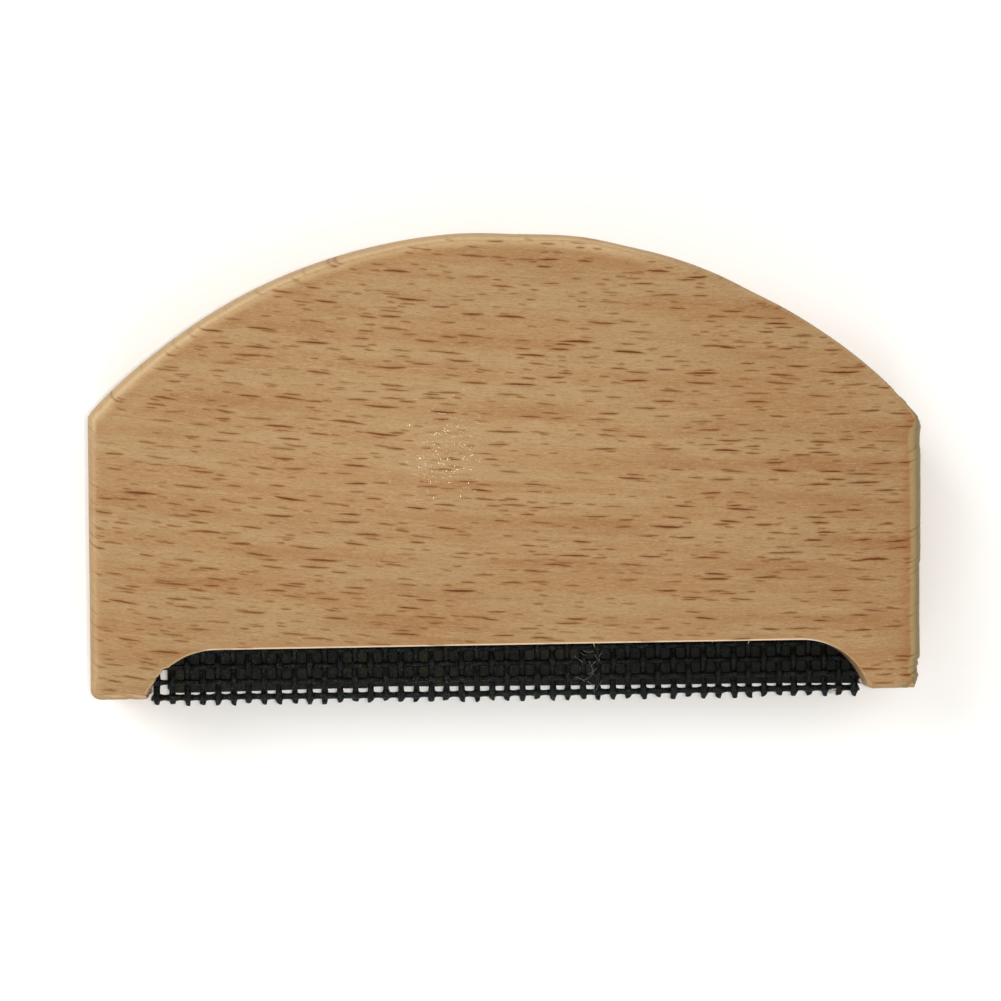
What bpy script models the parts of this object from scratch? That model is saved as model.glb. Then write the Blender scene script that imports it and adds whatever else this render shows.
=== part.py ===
"""Wooden sweater comb: a one-piece beech handle with a strip of coated woven mesh glued into a groove.

Metres, +Z up. The comb lies on its back: Z = 0 is the rear face and +Z leads to the front face,
+Y points to the crown of the handle and the teeth, which are the cut ends of the mesh, point to -Y.
The origin is the middle of the rear face, counting the teeth. Lengths below are in millimetres.
"""

import math

import bmesh
import bpy
from mathutils import Vector

MM = 0.001

# Handle; the right side leans in towards its foot, and its shoulder is given before it is rounded
HANDLE_THICKNESS = 12.0
CROWN_Y = 24.2
FEET_Y = -23.05
CROWN_RADIUS = 57.7
CROWN_CENTRE_X = -0.74
LEFT_SIDE_X = -42.75
RIGHT_SHOULDER_X = 42.768
RIGHT_FOOT_X = 42.3
SHOULDER_RADIUS_LEFT = 1.5
SHOULDER_RADIUS_RIGHT = 3.0
FOOT_CORNER_RADIUS = 1.1
FOOT_INNER_RADIUS = 0.5

# Edge roundings between the outline and the two flat faces; the handle is sanded by hand, so they differ
EDGE_LEFT_SIDE = 0.8
EDGE_LEFT_CROWN = 1.2
EDGE_CROWN_TOP = 0.9
EDGE_RIGHT_CROWN = 0.4
EDGE_RIGHT_SIDE = 1.7
EDGE_FEET = 0.6
EDGE_FOOT_INNER = 0.4
EDGE_ARCH = 0.2

# Arch between the feet
ARCH_LEFT_X = -36.9
ARCH_RIGHT_X = 36.9
ARCH_CORNER_RADIUS = 7.2
ARCH_CEILING_LEFT_Y = -18.15
ARCH_CEILING_RIGHT_Y = -17.94
ARCH_BOW = 0.02

# Groove that holds the mesh
GROOVE_LEFT_X = -38.4
GROOVE_RIGHT_X = 38.5
GROOVE_BACK_Z = 4.7
GROOVE_FRONT_Z = 7.3
GROOVE_END_Y = -12.2
GROOVE_CUT_START_Y = -24.9

# Woven mesh
TOOTH_COUNT = 47
CROSS_COUNT = 7
PITCH = 1.573
FIRST_TOOTH_X = -36.25
LOWEST_CROSS_Y = -23.26
TOOTH_TIP_Y = -24.2
STRAND_TOP_Y = -13.3
CROSS_OVERHANG = 0.6
MESH_PLANE_Z = 6.25
TOOTH_WIDTH = 0.66
CROSS_WIDTH = 0.58
STRAND_THICKNESS = 0.46
CROSSING_CLEARANCE = 0.06
FLAT_MARGIN = 0.03

# Stiffener behind the mesh
STIFFENER_LEFT_X = -35.2
STIFFENER_RIGHT_X = 37.8
STIFFENER_LOWER_Y = -22.65
STIFFENER_UPPER_Y = -13.3
STIFFENER_BACK_Z = 5.15
STIFFENER_THICKNESS = 0.45
STIFFENER_END_RADIUS = 0.5

# Adhesive: closes the end of the groove and runs down both sides of the mesh, to just inside the mouth
ADHESIVE_LEFT_X = -37.3
ADHESIVE_RIGHT_X = 37.4
ADHESIVE_MOUTH_Y = -17.75
ADHESIVE_BED_Y = -13.1
ADHESIVE_WALL_GAP = 0.1
ADHESIVE_MESH_GAP = 0.1

CROWN_SEGMENTS = 36
SIDE_SEGMENTS = 6
ARCH_CORNER_SEGMENTS = 7
CEILING_SEGMENTS = 8
CORNER_SEGMENTS = 4
EDGE_SEGMENTS = 4
GROOVE_END_SEGMENTS = 8
SHARP_ANGLE = math.radians(40)

# Linear colours, each with its roughness
BEECH = (0.44, 0.27, 0.13)
BEECH_ROUGHNESS = 0.45
COATING = (0.011, 0.013, 0.011)
COATING_ROUGHNESS = 0.4
STIFFENER = (0.009, 0.010, 0.009)
STIFFENER_ROUGHNESS = 0.55
ADHESIVE = (0.62, 0.60, 0.50)
ADHESIVE_ROUGHNESS = 0.3


def remove_existing():
    for item in list(bpy.data.objects):
        bpy.data.objects.remove(item, do_unlink=True)


def material(name, colour, roughness, metallic=0.0):
    made = bpy.data.materials.new(name)
    made.use_nodes = True
    shader = made.node_tree.nodes["Principled BSDF"]
    shader.inputs["Base Color"].default_value = (*colour, 1.0)
    shader.inputs["Roughness"].default_value = roughness
    shader.inputs["Metallic"].default_value = metallic
    return made


def add_object(name, bm, finish, parent):
    """Turn a bmesh in millimetres into a named object in metres."""
    bmesh.ops.scale(bm, vec=(MM, MM, MM), verts=bm.verts)
    bmesh.ops.recalc_face_normals(bm, faces=bm.faces)
    mesh = bpy.data.meshes.new(name)
    bm.to_mesh(mesh)
    bm.free()
    mesh.materials.append(finish)
    made = bpy.data.objects.new(name, mesh)
    made.parent = parent
    bpy.context.scene.collection.objects.link(made)
    return made


def loft(rings):
    """Join rings of equal length into one closed skin with a flat face on each end."""
    bm = bmesh.new()
    rows = [[bm.verts.new(point) for point in ring] for ring in rings]
    count = len(rows[0])
    for lower, upper in zip(rows, rows[1:]):
        for i in range(count):
            j = (i + 1) % count
            bm.faces.new((lower[i], lower[j], upper[j], upper[i]))
    bm.faces.new(rows[0])
    bm.faces.new(rows[-1])
    return bm


def mix(a, b, share):
    return a + (b - a) * share


def arc(centre, radius, start, end, segments):
    """Points on an arc, with both ends; angles are in radians."""
    angles = [mix(start, end, i / segments) for i in range(segments + 1)]
    return [(centre[0] + radius * math.cos(a), centre[1] + radius * math.sin(a)) for a in angles]


def rounded_corner(before, corner, after, radius):
    """An arc tangent to the two lines that meet at the corner."""
    corner = Vector(corner)
    to_before = (Vector(before) - corner).normalized()
    to_after = (Vector(after) - corner).normalized()
    half = to_before.angle(to_after) / 2
    centre = corner + (to_before + to_after).normalized() * (radius / math.sin(half))
    start = corner + to_before * (radius / math.tan(half)) - centre
    turn = start.angle_signed(corner + to_after * (radius / math.tan(half)) - centre)
    first = math.atan2(start.y, start.x)
    return arc(centre, radius, first, first - turn, CORNER_SEGMENTS)


def with_edges(points, first_edge, last_edge):
    """Give each point an edge rounding that runs evenly from the first value to the last."""
    last = max(1, len(points) - 1)
    return [(x, y, mix(first_edge, last_edge, i / last)) for i, (x, y) in enumerate(points)]


def crown_points():
    """The crown, from the right side to the left one."""
    first = math.acos((RIGHT_SHOULDER_X - CROWN_CENTRE_X) / CROWN_RADIUS)
    last = math.acos((LEFT_SIDE_X - CROWN_CENTRE_X) / CROWN_RADIUS)
    return arc((CROWN_CENTRE_X, CROWN_Y - CROWN_RADIUS), CROWN_RADIUS, first, last, CROWN_SEGMENTS)


def arch_end(foot_x, ceiling_y, inwards):
    """The rounded end of the arch, from the foot's inner corner up to the ceiling."""
    centre_y = ceiling_y - ARCH_CORNER_RADIUS
    reach = math.sqrt(ARCH_CORNER_RADIUS**2 - (centre_y - FEET_Y) ** 2)
    sweep = math.asin(reach / ARCH_CORNER_RADIUS)
    up = math.pi / 2
    centre = (foot_x + inwards * reach, centre_y)
    return arc(centre, ARCH_CORNER_RADIUS, up + inwards * sweep, up, ARCH_CORNER_SEGMENTS)


def arch_points():
    """The arch, from the left foot's inner corner to the right foot's."""
    left = arch_end(ARCH_LEFT_X, ARCH_CEILING_LEFT_Y, 1)
    right = arch_end(ARCH_RIGHT_X, ARCH_CEILING_RIGHT_Y, -1)[::-1]
    ceiling = []
    for i in range(1, CEILING_SEGMENTS):
        share = i / CEILING_SEGMENTS
        rise = ARCH_BOW * math.sin(math.pi * share)
        ceiling.append((mix(left[-1][0], right[0][0], share), mix(left[-1][1], right[0][1], share) + rise))
    return left + ceiling + right


def side_points(foot, shoulder):
    """Points on a straight side, without its two ends."""
    shares = [i / SIDE_SEGMENTS for i in range(1, SIDE_SEGMENTS)]
    return [(mix(foot[0], shoulder[0], s), mix(foot[1], shoulder[1], s)) for s in shares]


def handle_outline():
    """The outline, counter-clockwise from above: (x, y, edge rounding) for each point."""
    crown = crown_points()
    arch = arch_points()
    right_foot = (RIGHT_FOOT_X, FEET_Y)
    left_foot = (LEFT_SIDE_X, FEET_Y)
    right_side = side_points(right_foot, crown[0])
    left_side = side_points(left_foot, crown[-1])[::-1]
    right_foot_inner = rounded_corner(arch[-2], arch[-1], right_foot, FOOT_INNER_RADIUS)
    right_foot_outer = rounded_corner(arch[-1], right_foot, right_side[0], FOOT_CORNER_RADIUS)
    right_shoulder = rounded_corner(right_side[-1], crown[0], crown[1], SHOULDER_RADIUS_RIGHT)
    left_shoulder = rounded_corner(crown[-2], crown[-1], left_side[0], SHOULDER_RADIUS_LEFT)
    left_foot_outer = rounded_corner(left_side[-1], left_foot, arch[0], FOOT_CORNER_RADIUS)
    left_foot_inner = rounded_corner(left_foot, arch[0], arch[1], FOOT_INNER_RADIUS)
    inner_crown = [point for point in crown if math.dist(point, crown[0]) > SHOULDER_RADIUS_RIGHT][:-1]
    middle = len(inner_crown) // 2
    outline = with_edges(right_foot_inner, EDGE_ARCH, EDGE_FOOT_INNER)
    outline += with_edges(right_foot_outer, EDGE_FEET, EDGE_FEET)
    outline += with_edges(right_side, EDGE_RIGHT_SIDE, EDGE_RIGHT_SIDE)
    outline += with_edges(right_shoulder, EDGE_RIGHT_SIDE, EDGE_RIGHT_CROWN)
    outline += with_edges(inner_crown[:middle], EDGE_RIGHT_CROWN, EDGE_CROWN_TOP)
    outline += with_edges(inner_crown[middle:], EDGE_CROWN_TOP, EDGE_LEFT_CROWN)
    outline += with_edges(left_shoulder, EDGE_LEFT_CROWN, EDGE_LEFT_SIDE)
    outline += with_edges(left_side, EDGE_LEFT_SIDE, EDGE_LEFT_SIDE)
    outline += with_edges(left_foot_outer, EDGE_FEET, EDGE_FEET)
    outline += with_edges(left_foot_inner, EDGE_FOOT_INNER, EDGE_ARCH)
    outline += with_edges(arch[1:-1], EDGE_ARCH, EDGE_ARCH)
    return outline


def outward_normals(points):
    """The outward direction in the XY plane at each point of a counter-clockwise loop."""
    count = len(points)
    normals = []
    for i in range(count):
        before = Vector(points[i - 1][:2])
        after = Vector(points[(i + 1) % count][:2])
        along = (after - before).normalized()
        normals.append(Vector((along.y, -along.x)))
    return normals


def edge_ring(outline, normals, angle, face_z, side):
    """One ring of the rounded edge: angle 0 lies on the side of the handle, a right angle on the face."""
    ring = []
    for (x, y, rounding), normal in zip(outline, normals):
        inset = rounding * (1 - math.cos(angle))
        z = face_z - side * rounding * (1 - math.sin(angle))
        ring.append((x - normal.x * inset, y - normal.y * inset, z))
    return ring


def make_groove_cutter(parent):
    """A slot with round ends, cut upwards from below the feet."""
    radius = (GROOVE_FRONT_Z - GROOVE_BACK_Z) / 2
    middle_z = (GROOVE_FRONT_Z + GROOVE_BACK_Z) / 2
    right_centre = (GROOVE_RIGHT_X - radius, middle_z)
    left_centre = (GROOVE_LEFT_X + radius, middle_z)
    up = math.pi / 2
    profile = arc(right_centre, radius, -up, up, GROOVE_END_SEGMENTS)
    profile += arc(left_centre, radius, up, 3 * up, GROOVE_END_SEGMENTS)
    bm = loft([[(x, y, z) for x, z in profile] for y in (GROOVE_CUT_START_Y, GROOVE_END_Y)])
    cutter = add_object("groove_cutter", bm, material("cutter", COATING, COATING_ROUGHNESS), parent)
    cutter.display_type = "WIRE"
    cutter.hide_render = True
    return cutter


def make_handle(parent):
    outline = handle_outline()
    normals = outward_normals(outline)
    quarter = [math.pi / 2 * i / EDGE_SEGMENTS for i in range(EDGE_SEGMENTS + 1)]
    rear = [edge_ring(outline, normals, angle, 0.0, -1) for angle in reversed(quarter)]
    front = [edge_ring(outline, normals, angle, HANDLE_THICKNESS, 1) for angle in quarter]
    finish = material("beech", BEECH, BEECH_ROUGHNESS)
    handle = add_object("beech_handle", loft(rear + front), finish, parent)
    handle.data.shade_smooth()
    handle.data.set_sharp_from_angle(angle=SHARP_ANGLE)
    groove = handle.modifiers.new("groove", "BOOLEAN")
    groove.operation = "DIFFERENCE"
    groove.solver = "EXACT"
    groove.object = make_groove_cutter(parent)
    return handle


def weave_height(tooth, cross):
    """How far a tooth strand stands off the mesh plane where it meets a cross strand."""
    offset = (STRAND_THICKNESS + CROSSING_CLEARANCE) / 2
    return offset if (tooth + cross) % 2 == 0 else -offset


def strand_path(first, last, crossings, half_flat):
    """(position along the strand, height) pairs: level over each crossing and a straight slope between."""
    path = []
    for position, height in crossings:
        path += [(position - half_flat, height), (position + half_flat, height)]
    path[0] = (first, path[0][1])
    path[-1] = (last, path[-1][1])
    return path


def make_tooth_strand(index, finish, parent):
    x = FIRST_TOOTH_X + index * PITCH
    crossings = [(LOWEST_CROSS_Y + row * PITCH, weave_height(index, row)) for row in range(CROSS_COUNT)]
    half_flat = CROSS_WIDTH / 2 + FLAT_MARGIN
    w, t = TOOTH_WIDTH / 2, STRAND_THICKNESS / 2
    rings = []
    for y, height in strand_path(TOOTH_TIP_Y, STRAND_TOP_Y, crossings, half_flat):
        z = MESH_PLANE_Z + height
        rings.append([(x - w, y, z - t), (x + w, y, z - t), (x + w, y, z + t), (x - w, y, z + t)])
    return add_object(f"tooth_strand_{index + 1:02d}", loft(rings), finish, parent)


def make_cross_strand(row, finish, parent):
    y = LOWEST_CROSS_Y + row * PITCH
    crossings = [(FIRST_TOOTH_X + i * PITCH, -weave_height(i, row)) for i in range(TOOTH_COUNT)]
    half_flat = TOOTH_WIDTH / 2 + FLAT_MARGIN
    first = FIRST_TOOTH_X - CROSS_OVERHANG
    last = FIRST_TOOTH_X + (TOOTH_COUNT - 1) * PITCH + CROSS_OVERHANG
    w, t = CROSS_WIDTH / 2, STRAND_THICKNESS / 2
    rings = []
    for x, height in strand_path(first, last, crossings, half_flat):
        z = MESH_PLANE_Z + height
        rings.append([(x, y - w, z - t), (x, y + w, z - t), (x, y + w, z + t), (x, y - w, z + t)])
    return add_object(f"cross_strand_{row + 1}", loft(rings), finish, parent)


def make_mesh(parent):
    finish = material("mesh_coating", COATING, COATING_ROUGHNESS)
    for index in range(TOOTH_COUNT):
        make_tooth_strand(index, finish, parent)
    for row in range(CROSS_COUNT):
        make_cross_strand(row, finish, parent)


def make_stiffener(parent):
    """A thin strip behind the mesh, with its two lower corners rounded."""
    left, right = STIFFENER_LEFT_X, STIFFENER_RIGHT_X
    low, high = STIFFENER_LOWER_Y, STIFFENER_UPPER_Y
    profile = rounded_corner((left, high), (left, low), (right, low), STIFFENER_END_RADIUS)
    profile += rounded_corner((left, low), (right, low), (right, high), STIFFENER_END_RADIUS)
    profile += [(right, high), (left, high)]
    levels = (STIFFENER_BACK_Z, STIFFENER_BACK_Z + STIFFENER_THICKNESS)
    bm = loft([[(x, y, z) for x, y in profile] for z in levels])
    finish = material("stiffener", STIFFENER, STIFFENER_ROUGHNESS)
    return add_object("stiffener_strip", bm, finish, parent)


def make_adhesive(parent):
    """A channel of set adhesive: a bed across the end of the groove and a leg down each of its walls."""
    mesh_front = MESH_PLANE_Z + STRAND_THICKNESS + CROSSING_CLEARANCE / 2
    back, front = GROOVE_BACK_Z + ADHESIVE_WALL_GAP, GROOVE_FRONT_Z - ADHESIVE_WALL_GAP
    rear_leg = STIFFENER_BACK_Z - ADHESIVE_MESH_GAP
    front_leg = mesh_front + ADHESIVE_MESH_GAP
    top = GROOVE_END_Y - ADHESIVE_WALL_GAP
    profile = [
        (ADHESIVE_MOUTH_Y, back),
        (ADHESIVE_MOUTH_Y, rear_leg),
        (ADHESIVE_BED_Y, rear_leg),
        (ADHESIVE_BED_Y, front_leg),
        (ADHESIVE_MOUTH_Y, front_leg),
        (ADHESIVE_MOUTH_Y, front),
        (top, front),
        (top, back),
    ]
    ends = (ADHESIVE_LEFT_X, ADHESIVE_RIGHT_X)
    bm = loft([[(x, y, z) for y, z in profile] for x in ends])
    finish = material("adhesive", ADHESIVE, ADHESIVE_ROUGHNESS)
    return add_object("adhesive_fill", bm, finish, parent)


def main():
    remove_existing()
    comb = bpy.data.objects.new("sweater_comb", None)
    bpy.context.scene.collection.objects.link(comb)
    make_handle(comb)
    make_mesh(comb)
    make_stiffener(comb)
    make_adhesive(comb)


main()
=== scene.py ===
"""Looks of the wooden sweater comb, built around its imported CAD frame.

The fine surface of each piece is built in millimetres, in the frame's axes: +X right, +Y to the crown,
+Z out of the front face. The comb lies on its back on a pale floor and the camera looks down on it.
"""

import math

import bmesh
import bpy
import numpy as np
from mathutils import Matrix, Vector


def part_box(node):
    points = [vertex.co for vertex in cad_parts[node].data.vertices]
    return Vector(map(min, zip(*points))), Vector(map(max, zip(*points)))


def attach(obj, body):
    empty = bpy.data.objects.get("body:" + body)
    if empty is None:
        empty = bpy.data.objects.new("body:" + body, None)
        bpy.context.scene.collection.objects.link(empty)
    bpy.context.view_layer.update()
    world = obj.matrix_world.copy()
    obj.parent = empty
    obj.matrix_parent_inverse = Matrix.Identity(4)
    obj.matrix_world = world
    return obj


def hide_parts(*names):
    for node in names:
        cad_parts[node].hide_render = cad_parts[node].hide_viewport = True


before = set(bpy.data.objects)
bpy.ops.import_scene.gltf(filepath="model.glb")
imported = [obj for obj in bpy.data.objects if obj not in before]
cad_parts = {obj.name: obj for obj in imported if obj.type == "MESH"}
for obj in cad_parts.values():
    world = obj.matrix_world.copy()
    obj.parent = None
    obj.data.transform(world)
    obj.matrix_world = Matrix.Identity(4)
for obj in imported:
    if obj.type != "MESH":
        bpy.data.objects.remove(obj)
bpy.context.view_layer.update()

MM = 0.001


def box_mm(node):
    low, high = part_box(node)
    return np.array(low) / MM, np.array(high) / MM


# ---------------------------------------------------------------- driving sizes, from the frame
HANDLE_LOW, HANDLE_HIGH = box_mm("beech_handle")
LEFT_X, RIGHT_X = HANDLE_LOW[0], HANDLE_HIGH[0]
FEET_Y, CROWN_Y = HANDLE_LOW[1], HANDLE_HIGH[1]
THICKNESS = HANDLE_HIGH[2]
TOOTH_COUNT = sum(name.startswith("tooth_strand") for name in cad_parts)
CROSS_COUNT = sum(name.startswith("cross_strand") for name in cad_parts)

# Handle shape, as in the CAD part apart from a tighter right shoulder; the right side leans in to its foot
CROWN_RADIUS = 57.7
CROWN_CENTRE = (-0.74, CROWN_Y - CROWN_RADIUS)
RIGHT_FOOT_X = 42.3
SHOULDER_RADIUS_LEFT = 1.5
SHOULDER_RADIUS_RIGHT = 2.2
FOOT_CORNER_RADIUS = 1.1
FOOT_INNER_RADIUS = 0.5
ARCH_LEFT_X = -36.9
ARCH_RIGHT_X = 36.9
ARCH_CORNER_RADIUS = 7.2
ARCH_CEILING_LEFT_Y = -18.15
ARCH_CEILING_RIGHT_Y = -17.94
ARCH_BOW = 0.02
GROOVE_LOW = np.array((-38.4, -24.9, 4.7))
GROOVE_HIGH = np.array((38.5, -12.2, 7.3))

# Edge roundings, in the order of the outline
EDGE_LEFT_SIDE = 1.0
EDGE_LEFT_CROWN = 1.25
EDGE_CROWN_TOP = 0.95
EDGE_RIGHT_CROWN = 0.35
EDGE_RIGHT_SHOULDER = 1.6
EDGE_RIGHT_FOOT = 1.25
EDGE_FEET = 0.6
EDGE_ARCH = 0.2
EDGE_VARIATION = 0.08
SURFACE_UNEVENNESS = 0.02
EDGE_FLATNESS = 0.45

OUTLINE_STEP = 0.2
EDGE_SEGMENTS = 8
WALL_SEGMENTS = 10
ARC_SEGMENTS = 24

# The crown bulges slightly past its circle, apart from the flats left by the sander: (x, half length, depth)
CROWN_BULGE = 0.09
CROWN_FLATS = [(1.2, 4.5, 0.27), (12.6, 3.0, 0.12), (25.2, 3.0, 0.20), (30.5, 4.0, 0.12), (-36.0, 8.0, 0.15)]
# The sander's wedge on the right half of the crown, where the edge is wider: (x, half length, rounding)
CROWN_WEDGE = (19.0, 6.5, 0.55)
# Below this height the right side was planed once more, and near the foot and the shoulder it is ragged
SIDE_STEP_Y = -10.0
SIDE_STEP = 0.09
RAGGED_FOOT_Y = -19.9
RAGGED_FOOT_DEPTH = 0.24
RAGGED_SHOULDER = (1.5, 7.5)
RAGGED_SHOULDER_DEPTH = 0.09
# Chips along the edges: (x, y, z, radius, depth)
CHIPS = [
    (42.2, -16.4, 11.7, 0.30, 0.14),
    (41.2, -22.7, 11.7, 0.55, 0.30),
    (40.2, -23.05, 11.8, 0.45, 0.14),
    (42.6, 2.6, 11.3, 0.45, 0.25),
    (42.5, -3.1, 11.2, 0.30, 0.12),
    (-41.0, -23.05, 11.8, 0.40, 0.14),
    (-38.7, -23.05, 11.8, 0.60, 0.10),
    (-42.7, -20.9, 11.6, 0.35, 0.10),
    (-41.5, 6.7, 11.3, 0.35, 0.10),
    (37.8, -23.05, 11.9, 0.35, 0.12),
]

# Woven mesh
STRAND_SIDES = 14
TOOTH_SIZE = (0.60, 0.46)
CROSS_SIZE = (0.52, 0.44)
LOWEST_CROSS_SIZE = (0.58, 0.46)
CRIMP_HEIGHT = 0.23
CROSSING_SWELL = 0.30
CROSSING_REACH = 0.50
CROSS_SAG = 0.07
TIP_LENGTH_SPREAD = 0.30
TIP_LEAN = 0.15
TIP_TAPER = 0.36
FOOT_FILLET = 0.16
# How far the strands stop short of the CAD strands at the longest tooth's tip, the top and the cross ends
TIP_SETBACK = 0.13
TOP_SETBACK = 0.12
CROSS_SETBACK = 0.1
TOOTH_POINTS = 92
CROSS_POINTS = 700
TOOTH_SWAY = 0.022
CROSS_SWAY = 0.015
COATING_LUMPS = 0.06
# Clear height between the lowest cross strand and the stiffener: (x, gap), with a step where two cuts met
STIFFENER_GAPS = [(-35.0, 0.14), (-28.0, 0.20), (-22.0, 0.34), (-14.6, 0.40), (-14.2, 0.56), (-8.0, 0.49)]
STIFFENER_GAPS += [(0.0, 0.42), (12.0, 0.32), (28.0, 0.24), (37.0, 0.10)]
STIFFENER_CORNER = 0.5
STIFFENER_EDGE = 0.06

# Adhesive: the bed at the groove's end, the rounded lips at its mouth, and the threads on the mesh
ADHESIVE_BED = 0.8
ADHESIVE_LIP = 0.12
ADHESIVE_UNEVENNESS = 0.05
ADHESIVE_CLEARANCE = 0.02
STRING_COUNT = 14
STRING_POINTS = 26
STRING_X = (6.8, 10.0)
STRING_Y = (-22.3, -19.0)

# Slivers of wood on the arch's front edge: (x, lean, length)
SPLINTERS = [(8.5, 0.25, 0.55), (24.5, -0.4, 0.4), (20.6, 0.8, 0.22)]


# ---------------------------------------------------------------- meshes
def finish_piece(mesh, name, material, replaced=(), sharp_deg=40):
    """A mesh in millimetres becomes a smooth-shaded piece on the comb's one body."""
    mesh.transform(Matrix.Scale(MM, 4))
    mesh.materials.append(material)
    mesh.shade_smooth()
    mesh.set_sharp_from_angle(angle=math.radians(sharp_deg))
    piece = bpy.data.objects.new(name, mesh)
    bpy.context.scene.collection.objects.link(piece)
    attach(piece, "root")
    if replaced:
        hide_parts(*replaced)
    return piece


def loft_faces(ring_count, side_count):
    """Quads between rings of points, and one flat face at each end."""
    faces = []
    for ring in range(ring_count - 1):
        low = ring * side_count
        high = low + side_count
        for i in range(side_count):
            j = (i + 1) % side_count
            faces.append((low + i, low + j, high + j, high + i))
    faces.append(tuple(range(side_count - 1, -1, -1)))
    last = (ring_count - 1) * side_count
    faces.append(tuple(range(last, last + side_count)))
    return faces


def mesh_from(parts, name):
    """One mesh from (points, faces) parts, with every part's faces turned outwards."""
    points, faces = [], []
    for part_points, part_faces in parts:
        offset = len(points)
        points += [tuple(point) for point in part_points]
        faces += [tuple(offset + i for i in face) for face in part_faces]
    mesh = bpy.data.meshes.new(name)
    mesh.from_pydata(points, [], faces)
    bm = bmesh.new()
    bm.from_mesh(mesh)
    bmesh.ops.recalc_face_normals(bm, faces=bm.faces)
    bm.to_mesh(mesh)
    bm.free()
    return mesh


# Rings that round off the end of a tube: (share of its width, distance out in half widths)
END_CAP = ((0.93, 0.14), (0.74, 0.27), (0.42, 0.34))


def tube(path, half_width, half_height, across, sides=STRAND_SIDES, cut=(0.0, 0.0)):
    """A closed tube along a path. across is the width's direction, and cut leans its two end faces."""
    path = np.asarray(path, float)
    along = np.gradient(path, axis=0)
    along /= np.linalg.norm(along, axis=1)[:, None]
    across = np.asarray(across, float) - (along @ np.asarray(across, float))[:, None] * along
    across /= np.linalg.norm(across, axis=1)[:, None]
    upright = np.cross(along, across)
    half_width = np.broadcast_to(half_width, len(path))
    half_height = np.broadcast_to(half_height, len(path))
    turns = np.linspace(0, 2 * math.pi, sides, endpoint=False)
    rings = []
    for i, centre in enumerate(path):
        ring = centre + np.outer(np.cos(turns) * half_width[i], across[i])
        rings.append(ring + np.outer(np.sin(turns) * half_height[i], upright[i]))
    for end, lean in ((0, cut[0]), (-1, cut[1])):
        offset = (rings[end] - path[end]) @ across[end]
        rings[end] = rings[end] + np.outer(offset * lean, along[end])
    first, last = rings[0], rings[-1]
    for scale, reach in END_CAP:
        lip = reach * half_width[0]
        rings.insert(0, path[0] + (first - path[0]) * scale - along[0] * lip)
        rings.append(path[-1] + (last - path[-1]) * scale + along[-1] * lip)
    return np.concatenate(rings), loft_faces(len(rings), sides)


# ---------------------------------------------------------------- the handle's outline
def mix(a, b, share):
    return a + (b - a) * share


def arc(centre, radius, start, end, segments=ARC_SEGMENTS):
    angles = np.linspace(start, end, segments + 1)
    return [(centre[0] + radius * math.cos(a), centre[1] + radius * math.sin(a)) for a in angles]


def rounded_corner(before, corner, after, radius):
    """An arc tangent to the two lines that meet at the corner."""
    corner = Vector(corner)
    to_before = (Vector(before) - corner).normalized()
    to_after = (Vector(after) - corner).normalized()
    half = to_before.angle(to_after) / 2
    centre = corner + (to_before + to_after).normalized() * (radius / math.sin(half))
    start = corner + to_before * (radius / math.tan(half)) - centre
    turn = start.angle_signed(corner + to_after * (radius / math.tan(half)) - centre)
    first = math.atan2(start.y, start.x)
    return arc(centre, radius, first, first - turn, 8)


def crown_points():
    first = math.acos((RIGHT_X - CROWN_CENTRE[0]) / CROWN_RADIUS)
    last = math.acos((LEFT_X - CROWN_CENTRE[0]) / CROWN_RADIUS)
    return arc(CROWN_CENTRE, CROWN_RADIUS, first, last, 160)


def arch_end(foot_x, ceiling_y, inwards):
    """The rounded end of the arch, from the foot's inner corner up to the ceiling."""
    centre_y = ceiling_y - ARCH_CORNER_RADIUS
    reach = math.sqrt(ARCH_CORNER_RADIUS**2 - (centre_y - FEET_Y) ** 2)
    sweep = math.asin(reach / ARCH_CORNER_RADIUS)
    up = math.pi / 2
    return arc((foot_x + inwards * reach, centre_y), ARCH_CORNER_RADIUS, up + inwards * sweep, up)


def arch_points():
    left = arch_end(ARCH_LEFT_X, ARCH_CEILING_LEFT_Y, 1)
    right = arch_end(ARCH_RIGHT_X, ARCH_CEILING_RIGHT_Y, -1)[::-1]
    (x0, y0), (x1, y1) = left[-1], right[0]
    shares = np.linspace(0, 1, 41)[1:-1]
    ceiling = [(mix(x0, x1, s), mix(y0, y1, s) + ARCH_BOW * math.sin(math.pi * s)) for s in shares]
    return left + ceiling + right


def side_points(foot, shoulder):
    return [(mix(foot[0], shoulder[0], s), mix(foot[1], shoulder[1], s)) for s in np.linspace(0, 1, 12)[1:-1]]


def with_edges(points, first_edge, last_edge):
    shares = np.linspace(0, 1, len(points))
    return [(x, y, mix(first_edge, last_edge, s)) for (x, y), s in zip(points, shares)]


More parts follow.
